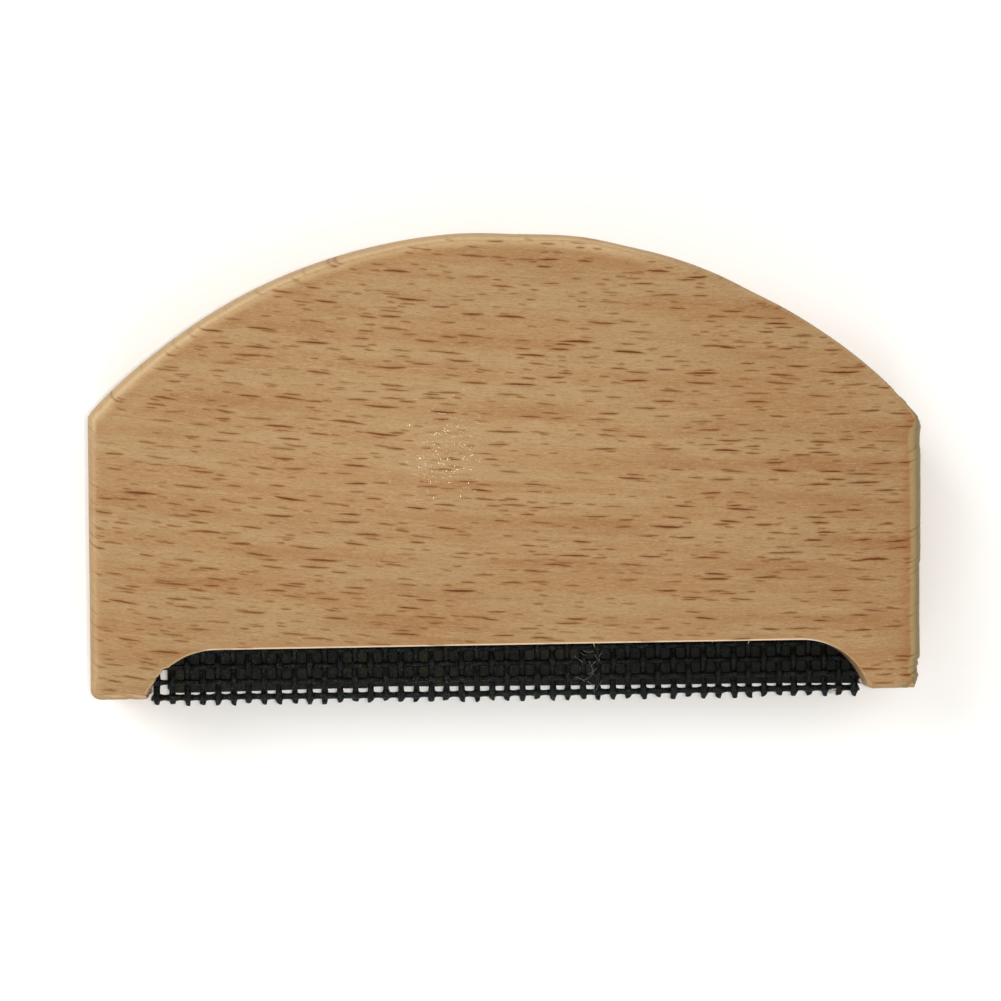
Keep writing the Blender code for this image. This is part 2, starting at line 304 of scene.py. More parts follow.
def handle_outline():
    """(x, y, edge rounding) at even steps, counter-clockwise from the right foot's inner corner."""
    crown, arch = crown_points(), arch_points()
    right_foot, left_foot = (RIGHT_FOOT_X, FEET_Y), (LEFT_X, FEET_Y)
    right_side = side_points(right_foot, crown[0])
    left_side = side_points(left_foot, crown[-1])[::-1]
    crown_clear = [point for point in crown if math.dist(point, crown[0]) > SHOULDER_RADIUS_RIGHT]
    crown_clear = [point for point in crown_clear if math.dist(point, crown[-1]) > SHOULDER_RADIUS_LEFT]
    middle = len(crown_clear) // 2
    corner = rounded_corner(arch[-2], arch[-1], right_foot, FOOT_INNER_RADIUS)
    line = with_edges(corner, EDGE_ARCH, EDGE_FEET)
    corner = rounded_corner(arch[-1], right_foot, right_side[0], FOOT_CORNER_RADIUS)
    line += with_edges(corner, EDGE_FEET, EDGE_RIGHT_FOOT)
    line += with_edges(right_side, EDGE_RIGHT_FOOT, EDGE_RIGHT_SHOULDER)
    corner = rounded_corner(right_side[-1], crown[0], crown[6], SHOULDER_RADIUS_RIGHT)
    line += with_edges(corner, EDGE_RIGHT_SHOULDER, EDGE_RIGHT_CROWN)
    line += with_edges(crown_clear[: middle * 2 // 3], EDGE_RIGHT_CROWN, EDGE_RIGHT_CROWN)
    line += with_edges(crown_clear[middle * 2 // 3 : middle], EDGE_RIGHT_CROWN, EDGE_CROWN_TOP)
    line += with_edges(crown_clear[middle:], EDGE_CROWN_TOP, EDGE_LEFT_CROWN)
    corner = rounded_corner(crown[-7], crown[-1], left_side[0], SHOULDER_RADIUS_LEFT)
    line += with_edges(corner, EDGE_LEFT_CROWN, EDGE_LEFT_SIDE)
    line += with_edges(left_side, EDGE_LEFT_SIDE, EDGE_LEFT_SIDE)
    corner = rounded_corner(left_side[-1], left_foot, arch[0], FOOT_CORNER_RADIUS)
    line += with_edges(corner, EDGE_FEET, EDGE_FEET)
    line += with_edges(rounded_corner(left_foot, arch[0], arch[1], FOOT_INNER_RADIUS), EDGE_FEET, EDGE_ARCH)
    line += with_edges(arch[3:-3], EDGE_ARCH, EDGE_ARCH)
    closed = np.array(line + line[:1])
    length = np.concatenate([[0], np.cumsum(np.linalg.norm(np.diff(closed[:, :2], axis=0), axis=1))])
    count = int(length[-1] / OUTLINE_STEP)
    places = np.linspace(0, length[-1], count, endpoint=False)
    return np.stack([np.interp(places, length, closed[:, k]) for k in range(3)], axis=1)


def smooth_loop(values, reach):
    """A running mean around a closed loop."""
    kernel = np.ones(reach) / reach
    wrapped = np.concatenate([values[-reach:], values, values[:reach]])
    return np.convolve(wrapped, kernel, mode="same")[reach:-reach]


def loop_noise(rng, count, waves, falloff=0.0):
    """Smooth noise from -1 to 1 around a loop, with up to that many waves."""
    turn = np.linspace(0, 2 * math.pi, count, endpoint=False)
    total = np.zeros(count)
    for wave in range(1, waves + 1):
        total += rng.normal() * np.cos(wave * turn + rng.uniform(0, 2 * math.pi)) / wave**falloff
    return total / np.abs(total).max()


def outward(points):
    along = np.roll(points, -1, axis=0) - np.roll(points, 1, axis=0)
    along /= np.linalg.norm(along, axis=1)[:, None]
    return np.stack([along[:, 1], -along[:, 0]], axis=1)


def groove_cutter():
    radius = (GROOVE_HIGH[2] - GROOVE_LOW[2]) / 2
    middle_z = (GROOVE_HIGH[2] + GROOVE_LOW[2]) / 2
    quarter = math.pi / 2
    profile = arc((GROOVE_HIGH[0] - radius, middle_z), radius, -quarter, quarter)
    profile += arc((GROOVE_LOW[0] + radius, middle_z), radius, quarter, 3 * quarter)
    points = [(x, y, z) for y in (GROOVE_LOW[1], GROOVE_HIGH[1]) for x, z in profile]
    mesh = mesh_from([(points, loft_faces(2, len(profile)))], "groove_cutter")
    cutter = bpy.data.objects.new("groove_cutter", mesh)
    bpy.context.scene.collection.objects.link(cutter)
    return cutter


def cut_groove(mesh):
    """The handle's mesh with the mesh strip's groove cut out of it."""
    cutter = groove_cutter()
    blank = bpy.data.objects.new("handle_blank", mesh)
    bpy.context.scene.collection.objects.link(blank)
    cut = blank.modifiers.new("groove", "BOOLEAN")
    cut.operation = "DIFFERENCE"
    cut.solver = "EXACT"
    cut.object = cutter
    bpy.context.view_layer.update()
    evaluated = blank.evaluated_get(bpy.context.evaluated_depsgraph_get())
    result = bpy.data.meshes.new_from_object(evaluated)
    bpy.data.objects.remove(blank)
    bpy.data.objects.remove(cutter)
    return result


def edge_profile():
    """(inset, depth) shares from the side wall to the face: a round edge that sanding left partly flat."""
    turns = np.linspace(0, 1, EDGE_SEGMENTS + 1)
    inset = mix(1 - np.cos(turns * math.pi / 2), turns, EDGE_FLATNESS)
    depth = mix(1 - np.sin(turns * math.pi / 2), 1 - turns, EDGE_FLATNESS)
    return list(zip(inset, depth))


def bell(values, centre, half_length):
    return np.exp(-(((values - centre) / half_length) ** 2))


def hand_finish(rng, points, normals):
    """How far sanding, planing and ragged grain move each outline point inwards."""
    x, y = points.T
    count = len(points)
    inset = SURFACE_UNEVENNESS * (1 + loop_noise(rng, count, 40, 0.6))
    on_crown = normals[:, 1] > 0.3
    near_middle = np.clip((RIGHT_X - np.abs(x)) / 4, 0, 1)
    inset -= on_crown * CROWN_BULGE * near_middle
    for centre, half_length, depth in CROWN_FLATS:
        inset += on_crown * depth * bell(x, centre, half_length)
    on_right = normals[:, 0] > 0.6
    planed = np.clip((SIDE_STEP_Y - y) / 0.2, 0, 1) * np.clip((y - FEET_Y) / 8, 0, 1)
    inset += on_right * SIDE_STEP * planed
    torn = np.repeat(rng.random(count // 2 + 1), 2)[:count]
    foot = (normals[:, 0] > 0.4) * np.clip((RAGGED_FOOT_Y - y) / 0.3, 0, 1) * (y > FEET_Y + 0.1)
    inset += foot * RAGGED_FOOT_DEPTH * (0.65 + 0.7 * torn)
    shoulder = (y > RAGGED_SHOULDER[0]) & (y < RAGGED_SHOULDER[1]) & (x > 0)
    inset += shoulder * RAGGED_SHOULDER_DEPTH * torn
    return inset


def build_handle(material):
    rng = np.random.default_rng(7)
    outline = handle_outline()
    points, rounding = outline[:, :2], smooth_loop(outline[:, 2], 11)
    count = len(points)
    normals = outward(points)
    wedge_x, wedge_length, wedge = CROWN_WEDGE
    rounding = rounding + (normals[:, 1] > 0.3) * wedge * bell(points[:, 0], wedge_x, wedge_length)
    rounding = rounding * (1 + EDGE_VARIATION * loop_noise(rng, count, 60, 0.3))
    points = points - normals * hand_finish(rng, points, normals)[:, None]
    edge = edge_profile()
    rows = []
    for share, lift in edge[::-1]:
        rows.append(np.column_stack([points - normals * (rounding * share)[:, None], rounding * lift]))
    for wall in np.linspace(0, 1, WALL_SEGMENTS + 1)[1:-1]:
        z = rounding + (THICKNESS - 2 * rounding) * wall
        rows.append(np.column_stack([points, z]))
    for share, lift in edge:
        z = THICKNESS - rounding * lift
        rows.append(np.column_stack([points - normals * (rounding * share)[:, None], z]))
    grid = np.stack(rows)
    for x, y, z, radius, depth in CHIPS:
        distance = np.linalg.norm(grid - np.array((x, y, z)), axis=2)
        bite = depth * np.clip(1 - (distance / radius) ** 2, 0, 1)
        grid[:, :, :2] -= normals[None] * bite[:, :, None]
        grid[:, :, 2] -= 0.5 * bite * (grid[:, :, 2] > THICKNESS - 1.5)
    mesh = mesh_from([(grid.reshape(-1, 3), loft_faces(len(rows), count))], "beech_handle_fine")
    return finish_piece(cut_groove(mesh), "handle_wood", material, ["beech_handle"], 32)


# ---------------------------------------------------------------- the woven mesh
def tooth_x(index):
    low, high = box_mm(f"tooth_strand_{index + 1:02d}")
    return (low[0] + high[0]) / 2


def cross_y(row):
    low, high = box_mm(f"cross_strand_{row + 1}")
    return (low[1] + high[1]) / 2


def crossing_swell(positions, centres):
    """How much thicker the coating is close to a crossing."""
    nearest = np.abs(positions[:, None] - np.asarray(centres)[None]).min(axis=1)
    return 1 + CROSSING_SWELL * np.exp(-((nearest / CROSSING_REACH) ** 2))


def lumps(rng, count, step=5):
    """Slow random unevenness of the coating along a strand."""
    knots = rng.normal(0, 1, count // step + 2)
    return np.interp(np.arange(count) / step, np.arange(len(knots)), knots)


def cross_line(x, xs):
    """How far the cross strands hang below a straight line, most left of the middle."""
    share = np.clip((x - xs[0]) / (xs[-1] - xs[0]), 0, 1)
    return CROSS_SAG * (0.3 - np.sin(math.pi * share**0.8))


def build_mesh_strands(material):
    rng = np.random.default_rng(21)
    xs = [tooth_x(i) for i in range(TOOTH_COUNT)]
    ys = [cross_y(row) for row in range(CROSS_COUNT)]
    pitch = (xs[-1] - xs[0]) / (TOOTH_COUNT - 1)
    low, high = box_mm("tooth_strand_01")
    tip_y, top_y = low[1], high[1]
    plane_z = (low[2] + high[2]) / 2
    for i, x in enumerate(xs):
        tip = tip_y + TIP_SETBACK + TIP_LENGTH_SPREAD * rng.random() ** 1.6
        y = np.linspace(tip, top_y - TOP_SETBACK, TOOTH_POINTS)
        side = 1 if i % 2 == 0 else -1
        free = np.clip((ys[0] - y) / (ys[0] - tip_y), 0, 1)
        sway = TOOTH_SWAY * lumps(rng, len(y), 12)
        path_x = x + sway + free**1.5 * rng.uniform(-TIP_LEAN, TIP_LEAN)
        path_z = plane_z + side * CRIMP_HEIGHT * np.cos(math.pi * (y - ys[0]) / pitch)
        path_z += free * rng.uniform(-0.1, 0.06)
        swell = crossing_swell(y, ys) * (1 + COATING_LUMPS * lumps(rng, len(y), 3))
        swell *= 1 - TIP_TAPER * free**2.5 * rng.uniform(0.4, 1.5)
        swell *= 1 + FOOT_FILLET * np.exp(-(((ys[0] - 0.2 - y) / 0.25) ** 2))
        path = np.column_stack([path_x, y, path_z])
        half_width, half_height = TOOTH_SIZE[0] / 2 * swell, TOOTH_SIZE[1] / 2 * swell
        points, faces = tube(path, half_width, half_height, (1, 0, 0), cut=(rng.uniform(-0.6, 0.6), 0.0))
        points[:, 1] = points[:, 1].clip(tip_y + 0.01, top_y - 0.01)
        name = f"tooth_strand_{i + 1:02d}"
        mesh = mesh_from([(points, faces)], name + "_fine")
        finish_piece(mesh, f"tooth_{i + 1:02d}", material, [name], 60)
    for row, y in enumerate(ys):
        name = f"cross_strand_{row + 1}"
        low, high = box_mm(name)
        left = low[0] + CROSS_SETBACK + CROSS_SETBACK * rng.random()
        right = high[0] - CROSS_SETBACK - CROSS_SETBACK * rng.random()
        x = np.linspace(left, right, CROSS_POINTS)
        side = -1 if row % 2 == 0 else 1
        path_z = plane_z + side * CRIMP_HEIGHT * np.cos(math.pi * (x - xs[0]) / pitch)
        path_y = y + cross_line(x, xs) + CROSS_SWAY * lumps(rng, len(x), 24)
        swell = crossing_swell(x, xs) * (1 + COATING_LUMPS * lumps(rng, len(x), 4))
        path = np.column_stack([x, path_y, path_z])
        width, height = LOWEST_CROSS_SIZE if row == 0 else CROSS_SIZE
        part = tube(path, width / 2 * swell, height / 2 * swell, (0, 1, 0), cut=(0.3, -0.3))
        mesh = mesh_from([part], name + "_fine")
        finish_piece(mesh, f"cross_wire_{row + 1}", material, [name], 60)


# ---------------------------------------------------------------- stiffener, adhesive, splinters
def corner_rise(from_end, radius):
    """How far a rounded corner lifts a strip's lower edge at a distance from the strip's end."""
    return radius - np.sqrt(np.clip(radius**2 - np.clip(radius - from_end, 0, radius) ** 2, 0, None))


def build_stiffener(material):
    """A thin strip behind the mesh; its lower edge was cut in two runs that meet in a small step."""
    low, high = box_mm("stiffener_strip")
    rng = np.random.default_rng(5)
    x = np.linspace(low[0], high[0], 240)
    xs = [tooth_x(i) for i in range(TOOTH_COUNT)]
    strand_top = cross_y(0) + cross_line(x, xs) + LOWEST_CROSS_SIZE[0] / 2
    gap_x, gap = zip(*STIFFENER_GAPS)
    lower = strand_top + np.interp(x, gap_x, gap) + 0.012 * lumps(rng, len(x), 6)
    lower += corner_rise(x - low[0], STIFFENER_CORNER) + corner_rise(high[0] - x, STIFFENER_CORNER)
    edge = STIFFENER_EDGE
    columns = []
    for i in range(len(x)):
        bottom = lower[i]
        columns.append(
            [
                (x[i], bottom, low[2] + edge),
                (x[i], bottom, high[2] - edge),
                (x[i], bottom + edge, high[2]),
                (x[i], high[1], high[2]),
                (x[i], high[1], low[2]),
                (x[i], bottom + edge, low[2]),
            ]
        )
    points = np.array(columns).reshape(-1, 3)
    mesh = mesh_from([(points, loft_faces(len(x), len(columns[0])))], "stiffener_fine")
    finish_piece(mesh, "stiffener", material, ["stiffener_strip"])


def blob(centre, size, rng, roughness=0.12):
    """A small uneven drop of set adhesive."""
    rows, sides = 12, 18
    polar = np.linspace(0, math.pi, rows + 2)[1:-1]
    turns = np.linspace(0, 2 * math.pi, sides, endpoint=False)
    phase = rng.uniform(0, 2 * math.pi, 3)
    rings = []
    for p in polar:
        knobs = np.sin(2 * turns + phase[0] + p) + np.sin(3 * turns + phase[1]) * np.sin(p + phase[2])
        bump = 1 + roughness * knobs
        rings.append(
            np.column_stack(
                [
                    centre[0] + size[0] * np.sin(p) * np.cos(turns) * bump,
                    centre[1] + size[1] * np.sin(p) * np.sin(turns) * bump,
                    np.full(sides, centre[2] + size[2] * np.cos(p)),
                ]
            )
        )
    return np.concatenate(rings), loft_faces(len(rings), sides)


def build_adhesive(material):
    """The bed and legs in the groove, with rounded lips at its mouth, and what was squeezed out of it."""
    rng = np.random.default_rng(11)
    low, high = box_mm("adhesive_fill")
    stiffener_back = box_mm("stiffener_strip")[0][2]
    mesh_front = box_mm("tooth_strand_01")[1][2]
    bed_y = high[1] - ADHESIVE_BED
    x = np.linspace(low[0], high[0], 300)
    front_mouth = low[1] + ADHESIVE_UNEVENNESS * lumps(rng, len(x), 8)
    rear_mouth = low[1] + ADHESIVE_UNEVENNESS * lumps(rng, len(x), 8)
    rear = (low[2], stiffener_back - ADHESIVE_CLEARANCE)
    front = (mesh_front + ADHESIVE_CLEARANCE, high[2])
    rings = []
    for i in range(len(x)):
        rings.append(
            [
                (x[i], rear_mouth[i], low[2]),
                (x[i], rear_mouth[i] + ADHESIVE_LIP, (rear[0] + rear[1]) / 2),
                (x[i], rear_mouth[i], rear[1]),
                (x[i], bed_y, rear[1]),
                (x[i], bed_y, front[0]),
                (x[i], front_mouth[i], front[0]),
                (x[i], front_mouth[i] + ADHESIVE_LIP, (front[0] + front[1]) / 2),
                (x[i], front_mouth[i], front[1]),
                (x[i], high[1], high[2]),
                (x[i], high[1], low[2]),
            ]
        )
    points = np.array(rings).reshape(-1, 3)
    mesh = mesh_from([(points, loft_faces(len(x), len(rings[0])))], "adhesive_fine")
    finish_piece(mesh, "adhesive_bed", material, ["adhesive_fill"])
    last = tooth_x(TOOTH_COUNT - 1)
    pitch = tooth_x(1) - tooth_x(0)
    lowest = cross_y(0)
    drops = [
        blob((last - 1.5 * pitch, lowest - 0.36, mesh_front - 0.40), (0.46, 0.22, 0.25), rng),
        blob((last - 1.3 * pitch, lowest - 0.12, mesh_front - 0.18), (0.34, 0.10, 0.12), rng),
        blob((last + 0.75, lowest + 0.75, mesh_front - 0.1), (0.30, 0.36, 0.25), rng),
    ]
    mesh = mesh_from(drops, "adhesive_drops_fine")
    finish_piece(mesh, "adhesive_drops", material, sharp_deg=180)


def build_adhesive_strings(material):
    """Fine threads of adhesive drawn across the front of the mesh."""
    rng = np.random.default_rng(31)
    front_z = box_mm("tooth_strand_01")[1][2]
    parts = []
    for _ in range(STRING_COUNT):
        start = np.array((rng.uniform(*STRING_X), rng.uniform(*STRING_Y)))
        heading = rng.uniform(0, 2 * math.pi)
        bend = rng.uniform(-1.6, 1.6)
        length = rng.uniform(0.5, 1.5)
        path = []
        for step in np.linspace(0, 1, STRING_POINTS):
            angle = heading + bend * step
            start = start + np.array((math.cos(angle), math.sin(angle))) * length / STRING_POINTS
            path.append((start[0], start[1], front_z + 0.02 + 0.05 * math.sin(3 * math.pi * step)))
        radius = rng.uniform(0.009, 0.016)
        parts.append(tube(path, radius, radius, (0, 0, 1), sides=6))
    mesh = mesh_from(parts, "adhesive_strings_fine")
    finish_piece(mesh, "adhesive_strings", material, sharp_deg=180)


def build_splinters(material):
    """Hair-thin slivers of wood left by the cutter on the arch's front edge."""
    parts = []
    for x, lean, length in SPLINTERS:
        share = np.linspace(0, 1, 10)
        path = np.column_stack(
            [
                x + lean * length * share**1.5,
                ARCH_CEILING_RIGHT_Y + 0.1 - length * share,
                THICKNESS - 0.12 + 0.04 * share,
            ]
        )
        taper = 0.055 * (1 - 0.85 * share)
        parts.append(tube(path, taper, taper * 0.6, (1, 0, 0), sides=6))
    mesh = mesh_from(parts, "splinters_fine")
    finish_piece(mesh, "arch_splinters", material, sharp_deg=180)


# ---------------------------------------------------------------- node material helpers
class Field:
    """A node socket with arithmetic, so that a pattern reads as a formula."""

    def __init__(self, tree, socket):
        self.tree, self.socket = tree, socket

    def math(self, operation, *others):
        node = self.tree.nodes.new("ShaderNodeMath")
        node.operation = operation
        for place, value in enumerate((self, *others)):
            plug(self.tree, value, node.inputs[place])
        return Field(self.tree, node.outputs[0])

    def __add__(self, other):
        return self.math("ADD", other)

    def __sub__(self, other):
        return self.math("SUBTRACT", other)

    def __mul__(self, other):
        return self.math("MULTIPLY", other)

    def __truediv__(self, other):
        return self.math("DIVIDE", other)

    def __rsub__(self, other):
        return (self * -1) + other

    __radd__ = __add__
    __rmul__ = __mul__

    def floor(self):
        return self.math("FLOOR")

    def fraction(self):
        return self.math("FRACT")

    def size(self):
        return self.math("ABSOLUTE")

    def step(self, low, high):
        """0 below low, 1 above high and smooth between."""
        node = self.tree.nodes.new("ShaderNodeMapRange")
        node.interpolation_type = "SMOOTHSTEP"
        for name, value in (("Value", self), ("From Min", low), ("From Max", high)):
            plug(self.tree, value, node.inputs[name])
        return Field(self.tree, node.outputs["Result"])


def plug(tree, value, socket):
    if isinstance(value, Field):
        tree.links.new(value.socket, socket)
    else:
        socket.default_value = value


def join_xyz(tree, x, y, z):
    node = tree.nodes.new("ShaderNodeCombineXYZ")
    for place, value in enumerate((x, y, z)):
        plug(tree, value, node.inputs[place])
    return Field(tree, node.outputs[0])


def noise(tree, place, scale=1.0, detail=2.0, roughness=0.5):
    node = tree.nodes.new("ShaderNodeTexNoise")
    tree.links.new(place.socket, node.inputs["Vector"])
    node.inputs["Scale"].default_value = scale
    node.inputs["Detail"].default_value = detail
    node.inputs["Roughness"].default_value = roughness
    return Field(tree, node.outputs["Fac"])


def white(tree, place, seed):
    """Four random numbers for a cell: three from its colour and one from its value."""
    node = tree.nodes.new("ShaderNodeTexWhiteNoise")
    node.noise_dimensions = "4D"
    tree.links.new(place.socket, node.inputs["Vector"])
    plug(tree, seed, node.inputs["W"])
    split = tree.nodes.new("ShaderNodeSeparateXYZ")
    tree.links.new(node.outputs["Color"], split.inputs[0])
    return [Field(tree, output) for output in (*split.outputs, node.outputs["Value"])]


def blend_colour(tree, base, colour, share):
    node = tree.nodes.new("ShaderNodeMix")
    node.data_type = "RGBA"
    plug(tree, share, node.inputs["Factor"])
    for value, name in ((base, "A"), (colour, "B")):
        socket = next(s for s in node.inputs if s.name == name and s.type == "RGBA")
        plug(tree, value, socket)
    output = next(s for s in node.outputs if s.type == "RGBA")
    return Field(tree, output)


def srgb(red, green, blue):
    """A display colour, 0 to 255, as linear values."""
    shares = [value / 255 for value in (red, green, blue)]
    linear = [s / 12.92 if s <= 0.04045 else ((s + 0.055) / 1.055) ** 2.4 for s in shares]
    return (*linear, 1.0)


def new_material(name, roughness, **values):
    material = bpy.data.materials.new(name)
    material.use_nodes = True
    shader = material.node_tree.nodes["Principled BSDF"]
    shader.inputs["Roughness"].default_value = roughness
    for key, value in values.items():
        shader.inputs[key.replace("_", " ")].default_value = value
    return material, material.node_tree, shader


def position_mm(tree):
    """The point on the object, in millimetres, as three fields."""
    coordinates = tree.nodes.new("ShaderNodeTexCoord")
    split = tree.nodes.new("ShaderNodeSeparateXYZ")
    tree.links.new(coordinates.outputs["Object"], split.inputs[0])
    return [Field(tree, output) * (1 / MM) for output in split.outputs], coordinates


def bump(tree, height, distance_mm, strength, shader, sockets=("Normal",)):
    node = tree.nodes.new("ShaderNodeBump")
    node.inputs["Strength"].default_value = strength
    node.inputs["Distance"].default_value = distance_mm * MM
    tree.links.new(height.socket, node.inputs["Height"])
    for socket in sockets:
        tree.links.new(node.outputs["Normal"], shader.inputs[socket])


# ---------------------------------------------------------------- beech
RAY_TILT = math.radians(37)
GRAIN_SLOPE = 0.064
GRAIN_BEND = 0.00075
RING_SLOPE = 0.062
RING_WIDTH = 2.3

BEECH_PALE = srgb(161, 132, 95)
BEECH_WARM = srgb(155, 120, 82)
BEECH_RING = srgb(135, 88, 50)
BEECH_LIGHT = srgb(179, 149, 109)
BEECH_SANDED_SHEEN = srgb(202, 176, 136)
BEECH_SANDED_SHADED = srgb(172, 147, 110)
BEECH_RIGHT_EDGE_SHADE = srgb(158, 135, 92)
BEECH_RIGHT_EDGE_DEEP_SHADE = srgb(116, 104, 66)
BEECH_WAXED = srgb(144, 86, 38)
BEECH_ARCH_PALE_AND_HIGHLIGHT = srgb(226, 200, 172)
BEECH_ARCH_WALL_SHADE = srgb(98, 74, 52)
BEECH_FLECK = srgb(84, 34, 2)
BEECH_HALO = srgb(130, 76, 28)
BEECH_SMALL = srgb(102, 52, 12)
BEECH_PORE = srgb(108, 66, 26)


# Ray flecks: (cell length, height and depth), share of the cells filled, thickness, seed
LARGE_FLECKS = ((7.8, 0.80, 13.0), 0.58, 0.160, 1.0)
SECOND_FLECKS = ((5.4, 0.62, 11.0), 0.54, 0.128, 5.0)
SMALL_FLECKS = ((3.2, 0.40, 8.0), 0.38, 0.105, 9.0)
PORES = ((1.5, 0.19, 2.5), 0.38, 0.06, 14.0)


def fleck_group():
    """A node group: one lens-shaped ray fleck in some of the cells of a brick-like grid.

    along runs with the grain, over crosses the sheet of a ray and deep runs along the ray, in millimetres.
    """
    tree = bpy.data.node_groups.new("ray_flecks", "ShaderNodeTree")
    names = ("along", "over", "deep", "cell_length", "cell_height", "cell_depth")
    names += ("share", "thickness", "seed")
    for name in names:
        tree.interface.new_socket(name, in_out="INPUT", socket_type="NodeSocketFloat")
    tree.interface.new_socket("darkness", in_out="OUTPUT", socket_type="NodeSocketFloat")
    tree.interface.new_socket("halo", in_out="OUTPUT", socket_type="NodeSocketFloat")
    source = tree.nodes.new("NodeGroupInput")
    target = tree.nodes.new("NodeGroupOutput")
    field = {name: Field(tree, source.outputs[name]) for name in names}
    row = field["over"] / field["cell_height"]
    layer = field["deep"] / field["cell_depth"]
    row_cell = row.floor()
    shift = white(tree, join_xyz(tree, row_cell, layer.floor(), 0.0), field["seed"] + 7.3)[3]
    layer = layer + shift * 3.7
    layer_cell = layer.floor()
    column = field["along"] / field["cell_length"] + shift * 5.0
    column_cell = column.floor()
    r1, r2, r3, r4 = white(tree, join_xyz(tree, column_cell, row_cell, layer_cell), field["seed"])
    r5, r6, r7, r8 = white(tree, join_xyz(tree, column_cell, row_cell, layer_cell), field["seed"] + 31.7)
    r9 = r8 * 0.35 + 0.65
    length, height = field["cell_length"], field["cell_height"]
    half_length = length * (0.16 + 0.32 * r1 * r1 * r9)
    half_height = field["thickness"] * (0.30 + 0.26 * r1 + 0.10 * r5)
    x = (column.fraction() - 0.5) * length - (r2 - 0.5) * (length - 2 * half_length)
    y = (row.fraction() - 0.5) * height - (r3 - 0.5) * height * 0.45
    y = y - x * (r6 - 0.5) * 0.09 - x * x * (r7 - 0.5) * 0.05
    z = layer.fraction() * 2 - 1
    q = (x / half_length).size()
    lopsided = (1 + (r6 - 0.5) * x / half_length).math("MAXIMUM", 0.4)
    edge = half_height * (1 - q * q) * lopsided - y.size()
    fade = (1 - z * z).step(0.0, 0.3)
    present = r4.math("LESS_THAN", field["share"])
    strength = (0.52 + 0.48 * r8) * fade * present
    softness = field["thickness"] * 0.30
    darkness = edge.step(softness * -0.7, softness) * strength
    halo = edge.step(softness * -4.0, softness * 0.2) * q.step(1.15, 0.6) * strength
    tree.links.new(darkness.socket, target.inputs["darkness"])
    tree.links.new(halo.socket, target.inputs["halo"])
    return tree


def flecks(tree, group, place, cell, share, thickness, seed):
    node = tree.nodes.new("ShaderNodeGroup")
    node.node_tree = group
    values = dict(zip(("along", "over", "deep"), place))
    values.update(zip(("cell_length", "cell_height", "cell_depth"), cell))
    values.update(share=share, thickness=thickness, seed=seed)
    for name, value in values.items():
        plug(tree, value, node.inputs[name])
    return Field(tree, node.outputs["darkness"]), Field(tree, node.outputs["halo"])


def face_rim(x, y):
    """Distances in millimetres from the crown and the sides, and from the arch, measured in the face."""
    crown_x, crown_y = x - CROWN_CENTRE[0], y - CROWN_CENTRE[1]
    from_crown = CROWN_RADIUS - (crown_x * crown_x + crown_y * crown_y).math("SQRT")
    shoulder_y = CROWN_Y * 0.2
    lean = (RIGHT_X - RIGHT_FOOT_X) / (shoulder_y - FEET_Y)
    from_side = (x - LEFT_X).math("MINIMUM", RIGHT_FOOT_X + (y - FEET_Y) * lean - x)
    arch_centre = (ARCH_LEFT_X + ARCH_RIGHT_X) / 2
    arch_half = (ARCH_RIGHT_X - ARCH_LEFT_X) / 2 - ARCH_CORNER_RADIUS
    past_end = ((x - arch_centre).size() - arch_half).math("MAXIMUM", 0.0)
    tilt = (ARCH_CEILING_RIGHT_Y - ARCH_CEILING_LEFT_Y) / (2 * arch_half)
    ceiling = (ARCH_CEILING_LEFT_Y + ARCH_CEILING_RIGHT_Y) / 2 - ARCH_CORNER_RADIUS
    above = y - ceiling - (x - arch_centre) * tilt
    from_arch = (past_end * past_end + above * above).math("SQRT") - ARCH_CORNER_RADIUS
    return from_crown, from_side, from_arch


def grain_directions(tree, x, y, z):
    """Places over the rays' sheets and deep along them; the grain sweeps across the face."""
    wander = noise(tree, join_xyz(tree, x / 14, y / 3.0, z / 3.0), detail=1.0) - 0.5
    lifted = y + x * GRAIN_SLOPE - x * x * GRAIN_BEND + wander * 0.5
    over = lifted * math.cos(RAY_TILT) + z * math.sin(RAY_TILT)
    deep = z * math.cos(RAY_TILT) - lifted * math.sin(RAY_TILT)
    return over, deep


